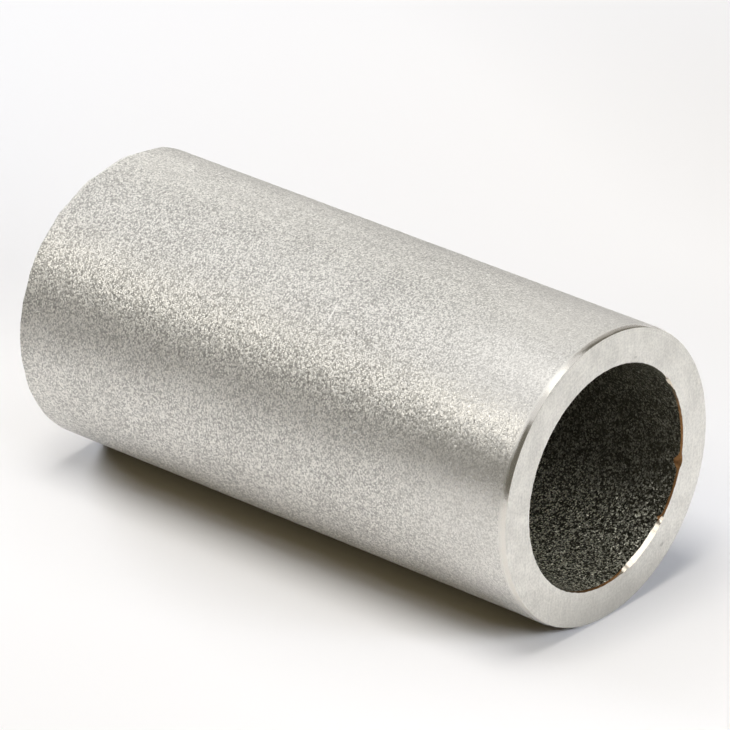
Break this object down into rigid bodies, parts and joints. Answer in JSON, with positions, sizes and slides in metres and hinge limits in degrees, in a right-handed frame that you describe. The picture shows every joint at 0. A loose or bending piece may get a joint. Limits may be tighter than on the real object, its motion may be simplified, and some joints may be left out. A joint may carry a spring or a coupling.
{
  "type": "sintered filter element",
  "caption": "Short porous tube of sintered metal powder with a straight bore, a machined face at its mouth and a crumbled edge at its rough end, for filtering gas or liquid.",
  "frame": {"origin": "centre of the rough end that the tube stands on", "axes": "+Z along the tube's axis, from the rough end to the machined mouth; the crumbled edge faces -X"},
  "size_m": [0.02, 0.02, 0.0414],
  "materials": {
    "sintered_metal": "matte sintered powder, with a satin machined face at the mouth"
  },
  "bodies": {
    "root": {"filter_tube": "sintered_metal"}
  },
  "joints": []
}
